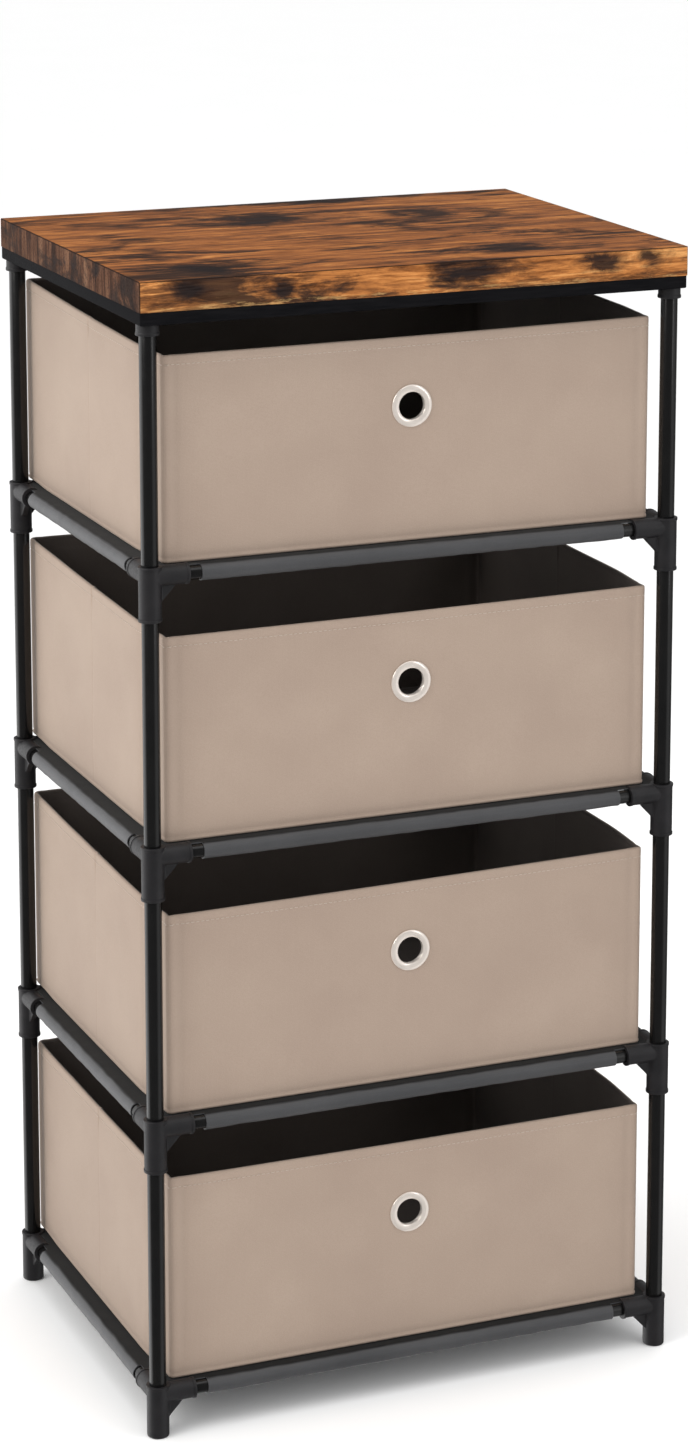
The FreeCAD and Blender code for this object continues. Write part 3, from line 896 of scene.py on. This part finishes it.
def rectangle(low, high, inset, parts):
    """Points round a rectangle inside a box, so many parts to each side."""
    left, front, right, back = low.x + inset, low.y + inset, high.x - inset, high.y - inset
    corners = [(left, front), (right, front), (right, back), (left, back)]
    return [(a[0] + (b[0] - a[0]) * i / parts, a[1] + (b[1] - a[1]) * i / parts)
            for a, b in zip(corners, corners[1:] + corners[:1]) for i in range(parts)]


class Bin:
    """The bin of one tier: its measures, and a method for each of its pieces.

    The sections of its walls are made of (outward, height above the bottom, share of swell).
    """

    def __init__(self, tier):
        self.tier = tier
        self.body = "bin_%d" % tier
        self.low, self.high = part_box(self.body + "_cloth")
        self.height = self.high.z - self.low.z
        self.seam = self.height - STITCH_DROP
        self.eye = middle(self.body + "_eyelet")
        self.hole_z = self.eye.z - self.low.z
        self.walls = bin_walls(self.low, self.high)
        eyelet_zone = (self.hole_z, 34 * MM, 3.4 * MM)
        self.levels = spaced(12 * MM, self.seam - 6 * MM, WALL_STEP, (eyelet_zone,))

    def swell(self, wall, z):
        """How far the cloth stands out of its true place, in metres."""
        side, s, flat = wall[4:]
        if side != int(side):
            return 0.0
        edge = flat - abs(s)
        inner = smooth_step(edge, 0, 40 * MM) * smooth_step(z, 0, 30 * MM)
        seed = Vector((s * 9 + 3.3 * self.tier, z * 12, side * 5.1 + self.tier))
        value = noise.noise(seed) * PANEL_SWELL
        value += noise.noise(Vector((s * 28, z * 34 + self.tier, side * 3.7))) * PANEL_SWELL * 0.3
        value = value * inner
        value -= CORNER_VALLEY * bell(edge, 6 * MM, 4.5 * MM) * smooth_step(z, 4 * MM, 20 * MM)
        if side in (1, 3):
            below_rim = self.height - z
            sharp = 0.25 + 0.75 * (1 - smooth_step(below_rim, FOLD_REACH * 0.5, FOLD_REACH))
            value -= FOLD_DEPTH * sharp * bell(s, 0, FOLD_WIDTH)
        if side == 0:
            from_hole = math.hypot(s, z - self.hole_z)
            value *= smooth_step(from_hole, 18 * MM, 60 * MM)
            value -= EYE_DIP * bell(from_hole, 21.5 * MM, 4 * MM)
        return value

    def rows(self, section):
        """Rows of points: a section taken round all the walls, with their unevenness."""
        rows = []
        for d, z, share in section:
            row = []
            for wall in self.walls:
                x, y, nx, ny = wall[:4]
                lift = rim_lift(wall, RIM_LIFT[self.tier]) * max(0.0, z / self.height) ** 2
                lift -= settling(wall) * (1 - smooth_step(z, 0, SETTLE_REACH))
                out = d + bow(wall) + share * self.swell(wall, z)
                row.append(Vector((x + nx * out, y + ny * out, self.low.z + z + lift)))
            rows.append(row)
        return rows

    def add(self, shape, name, materials, sharp, node, slot="bin_cloth", hole=None):
        """Shows a shape in place of one of the bin's nodes; hole is a cutter's reach."""
        made = shape.make("%s_%s" % (self.body, name), materials, self.body, sharp)
        if hole:
            centre = (self.eye.x, self.low.y, self.eye.z)
            cut(made, [scratch_rod(EYE_HOLE_R, -hole, hole, centre, Y)])
            shade(made.data, sharp)
        stand_in(made, "%s_%s" % (self.body, node))

    def outer_section(self):
        """Outer face of the cloth, from under the bottom edge up and over the top."""
        section = [(-3.2 * MM, 0.0, 0), (-1.2 * MM, 0.0, 0), (-0.1 * MM, 0.4 * MM, 0),
                   (WELT_PROUD, WELT_HIGH * 0.45, 0), (WELT_PROUD * 0.8, WELT_HIGH * 0.8, 0),
                   (-0.45 * MM, WELT_HIGH + 0.6 * MM, 0.3), (0, WELT_HIGH + 2.4 * MM, 1)]
        section += [(0, z, 1) for z in self.levels]
        section += [(0, self.seam - 2.2 * MM, 1), (-0.35 * MM, self.seam, 1),
                    (0.05 * MM, self.seam + 2 * MM, 1), (0.1 * MM, self.seam + 4.5 * MM, 1)]
        for k in range(RIM_STEPS + 1):
            t = math.pi * k / RIM_STEPS
            section.append((-RIM_ROLL + RIM_ROLL * math.cos(t),
                            self.height - RIM_ROLL + RIM_ROLL * math.sin(t), 1))
        return section

    def outer_cloth(self, taupe, black):
        section = self.outer_section()
        outer, inner = self.rows(section), self.rows(offset_section(section, CLOTH_THICK))
        lined_from = len(section) - 1 - RIM_STEPS // 2
        cloth = Shape().grid(outer, rings=True, slot=lambda row: int(row >= lined_from))
        cloth.grid(inner, rings=True)
        cloth.grid([outer[-1], inner[-1]], rings=True, slot=1)
        cloth.cap(outer[0], 1).cap(inner[0], 1)
        self.add(cloth, "outer_cloth", [taupe, black], 60, "cloth", hole=8 * MM)

    def lining(self, black):
        """The boards in their black lining: one ring inside the cloth, tucked under its rim."""
        low_z, top_z = CLOTH_THICK + 0.2 * MM, self.height - RIM_ROLL - 0.3 * MM
        back, face = -CLOTH_THICK - 0.3 * MM, -WALL_THICK
        outer = [(back, low_z, 1), *[(back, z, 1) for z in self.levels], (back, top_z, 1)]
        inner = [(face, top_z, 1), (face - 0.15 * MM, self.seam + 3 * MM, 1),
                 (face + 0.3 * MM, self.seam, 1), (face - 0.1 * MM, self.seam - 3 * MM, 1),
                 *[(face, z, 1) for z in reversed(self.levels)], (face, low_z, 1)]
        ring = Shape().grid(self.rows(outer + inner), loop=True, rings=True)
        self.add(ring, "lining", [black], 60, "wall_boards", hole=12 * MM)

    def floor_pad(self, black):
        """Cloth-covered base board, slightly dished, with a seam round its edge."""
        low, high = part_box(self.body + "_base_board")
        thick = high.z - low.z
        rim = 1.0 * MM
        rows = []
        for inset, z in ((rim, 0), (0, rim), (0.3 * MM, thick / 2), (0, thick - rim),
                         (rim, thick), (6 * MM, thick), (8 * MM, thick - 0.4 * MM),
                         (10 * MM, thick)):
            rows.append([Vector((x, y, low.z + z)) for x, y in rectangle(low, high, inset, 12)])
        pad = Shape().grid(rows, rings=True).cap(rows[0]).cap(rows[-1])
        self.add(pad, "floor_pad", [black], 50, "base_board")

    def stitches(self, sewing):
        """Row of stitches round the hem, just proud of the cloth."""
        row = self.rows([(-0.15 * MM, self.seam, 1)])[0]
        profile = [(0, 0), (STITCH_R * 0.7, 0.2 * MM), (STITCH_R, 0.8 * MM),
                   (STITCH_R, STITCH_LEN - 0.8 * MM), (STITCH_R * 0.7, STITCH_LEN - 0.2 * MM),
                   (0, STITCH_LEN)]
        threads = Shape()
        travelled, next_at = 0.0, 0.0
        for here, there in zip(row, row[1:] + row[:1]):
            length = (there - here).length
            direction = (there - here).normalized()
            while next_at < travelled + length:
                start = here.lerp(there, (next_at - travelled) / length)
                threads.turned(profile, start, tuple(direction), loop=False,
                               segments=STITCH_SEGMENTS)
                next_at += STITCH_LEN + STITCH_GAP
            travelled += length
        made = threads.make(self.body + "_hem_stitches", [sewing], self.body, sharp=80)

    def ring(self, metal):
        """Crowned eyelet with its barrel rolled over the washer inside the wall."""
        low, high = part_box(self.body + "_eyelet")
        front = self.low.y
        crown, back = front - low.y, high.y - front
        outer_r = (high.z - low.z) / 2
        mid_r, half = (EYE_BORE_R + outer_r) / 2, (outer_r - EYE_BORE_R) / 2
        profile = []
        for i in range(CROWN_STEPS + 1):
            t = math.pi * i / CROWN_STEPS
            profile.append((mid_r - half * math.cos(t), -crown * math.sin(t) ** 0.8))
        profile += [(outer_r - 0.4 * MM, 0.25 * MM), (BARREL_R, 0.3 * MM),
                    (BARREL_R, back - 1.4 * MM), (BARREL_R + 1.0 * MM, back - 1.0 * MM),
                    (BARREL_R + 1.2 * MM, back - 0.5 * MM), (BARREL_R + 0.6 * MM, back),
                    (EYE_BORE_R + 0.3 * MM, back - 0.2 * MM), (EYE_BORE_R, back - 0.8 * MM)]
        inside = BARREL_R + 0.2 * MM
        washer = eased([(inside, back - 1.6 * MM), (WASHER_R, back - 1.7 * MM, 0.3 * MM),
                        (WASHER_R, back - 1.0 * MM, 0.3 * MM), (inside, back - 1.1 * MM)])
        eyelet = Shape()
        for section in (profile, washer):
            eyelet.turned(section, (self.eye.x, front, self.eye.z), Y, segments=EYE_SEGMENTS)
        self.add(eyelet, "ring", [metal], 50, "eyelet", "eyelet_metal")


# ------------ studio
# The camera, fitted to straight edges in the photo: image size, focal length and principal point
# in the photo's pixels, place in metres.
IMAGE_W, IMAGE_H = 688, 1452
FOCAL_PX = 3865.83
PRINCIPAL_X, PRINCIPAL_Y = 386.73, 363.0
CAMERA_AT = Vector((-1.38025, -3.39478, 1.66849))
CAMERA_TURN = math.radians(22.88)  # from straight at the front, to the right
CAMERA_TILT = math.radians(10.73)  # down
CAMERA_ROLL = math.radians(0.10)


def camera():
    data = bpy.data.cameras.new("camera")
    made = placed("camera", data)
    data.lens = FOCAL_PX * data.sensor_width / IMAGE_H
    data.shift_x = (IMAGE_W / 2 - PRINCIPAL_X) / IMAGE_H
    data.shift_y = (PRINCIPAL_Y - IMAGE_H / 2) / IMAGE_H
    forward = Vector((math.sin(CAMERA_TURN) * math.cos(CAMERA_TILT),
                      math.cos(CAMERA_TURN) * math.cos(CAMERA_TILT), -math.sin(CAMERA_TILT)))
    level = Vector((math.cos(CAMERA_TURN), -math.sin(CAMERA_TURN), 0))
    up = level.cross(forward)
    right = level * math.cos(CAMERA_ROLL) + up * math.sin(CAMERA_ROLL)
    up = up * math.cos(CAMERA_ROLL) - level * math.sin(CAMERA_ROLL)
    axes = Matrix((right, up, -forward)).transposed().to_4x4()
    made.matrix_world = Matrix.Translation(CAMERA_AT) @ axes
    data.clip_start, data.clip_end = 0.05, 200
    bpy.context.scene.camera = made


def area_light(name, at, aim, size, power, colour=(1, 1, 1)):
    data = bpy.data.lights.new(name, "AREA")
    data.shape, data.size, data.size_y = "RECTANGLE", size[0], size[1]
    data.energy, data.color = power, colour
    made = placed(name, data)
    made.location = at
    made.rotation_euler = (Vector(aim) - Vector(at)).to_track_quat("-Z", "Y").to_euler()


ROOM_LIGHT = 1.05
# What glossy surfaces reflect: a dim room with tall soft boxes, each (compass direction, cosines
# of the angles from it to the box's rim and core, brightness).
DIM_ROOM = 0.16
SOFT_BOXES = (((-0.71, 0.71, 0), 0.72, 0.94, 1.50), ((0.78, -0.63, 0), 0.86, 0.98, 0.45),
              ((0.60, 0.80, 0), 0.90, 0.99, 0.25))


def studio_world():
    """Even white light from all round, in which glossy surfaces see soft boxes in a dim room."""
    world = bpy.data.worlds.new("studio")
    world.use_nodes = True
    tree = world.node_tree
    direction = add_node(tree, "TexCoord", {})["Generated"]
    level = add_node(tree, "VectorMath", {0: direction, 1: (1, 1, 0)}, operation="MULTIPLY")[0]
    compass = add_node(tree, "VectorMath", {0: level}, operation="NORMALIZE")[0]
    seen = DIM_ROOM
    for towards, rim, core, brightness in SOFT_BOXES:
        facing = add_node(tree, "VectorMath", {0: compass, 1: Vector(towards).normalized()},
                          operation="DOT_PRODUCT")["Value"]
        box = add_node(tree, "MapRange", {0: facing, 1: rim, 2: core, 3: 0.0, 4: brightness},
                       interpolation_type="SMOOTHSTEP")[0]
        seen = add_node(tree, "Math", {0: seen, 1: box}, operation="ADD")[0]
    glossy = add_node(tree, "LightPath", {})["Is Glossy Ray"]
    strength = add_node(tree, "Mix", {0: glossy, 2: ROOM_LIGHT, 3: seen}, data_type="FLOAT")[0]
    tree.links.new(strength, tree.nodes["Background"].inputs["Strength"])
    tree.nodes["Background"].inputs["Color"].default_value = (1, 1, 1, 1)
    bpy.context.scene.world = world


def studio():
    studio_world()
    area_light("key", (-3.0, -0.7, 2.3), (0, 0, 0.5), (1.8, 1.8), 52, (1.0, 0.985, 0.96))
    area_light("overhead", (0.2, -0.3, 3.4), (0, 0, 0.4), (3.0, 3.0), 30)
    area_light("strip", (1.9, -2.6, 1.6), (0, 0, 0.6), (0.5, 2.2), 8)
    reach = 60
    floor = Shape().grid([[Vector((x, y, -0.1 * MM)) for x in (-reach, reach)]
                          for y in (-reach, reach)])
    sheet = floor.make("floor", [pale_floor()], None)
    sheet.visible_glossy = False
    bpy.context.scene.view_settings.view_transform = "Standard"


# ------------ the whole
def main():
    coat, plastic, foil = powder_coat(), moulded_plastic(), black_panel()
    taupe = spunbond("taupe_spunbond", (0.335, 0.255, 0.205), (0.385, 0.300, 0.240), 0.12)
    black = spunbond("black_spunbond", (0.115, 0.094, 0.083), (0.155, 0.129, 0.113), 0.1)
    # The shelf cloth's upward faces carry painted shade.
    shelf_cloth = spunbond("shelf_spunbond", (0.038, 0.039, 0.042), (0.066, 0.066, 0.070), 0.04,
                           gloss=0.5, rough=(0.40, 0.52), painted_top_shade=0.03)
    sewing = thread("taupe_thread", (0.56, 0.47, 0.39))
    wood = rustic_wood(*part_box("top_board"))
    post_tubes(coat)
    rail_tubes(coat)
    connectors(plastic)
    top(wood, foil, plastic, brushed_steel())
    metal = nickel()
    for tier in TIERS:
        shelf(tier, shelf_cloth)
        one = Bin(tier)
        one.outer_cloth(taupe, black)
        one.lining(black)
        one.floor_pad(black)
        one.stitches(sewing)
        one.ring(metal)
    camera()
    studio()


main()
bpy.context.view_layer.update()
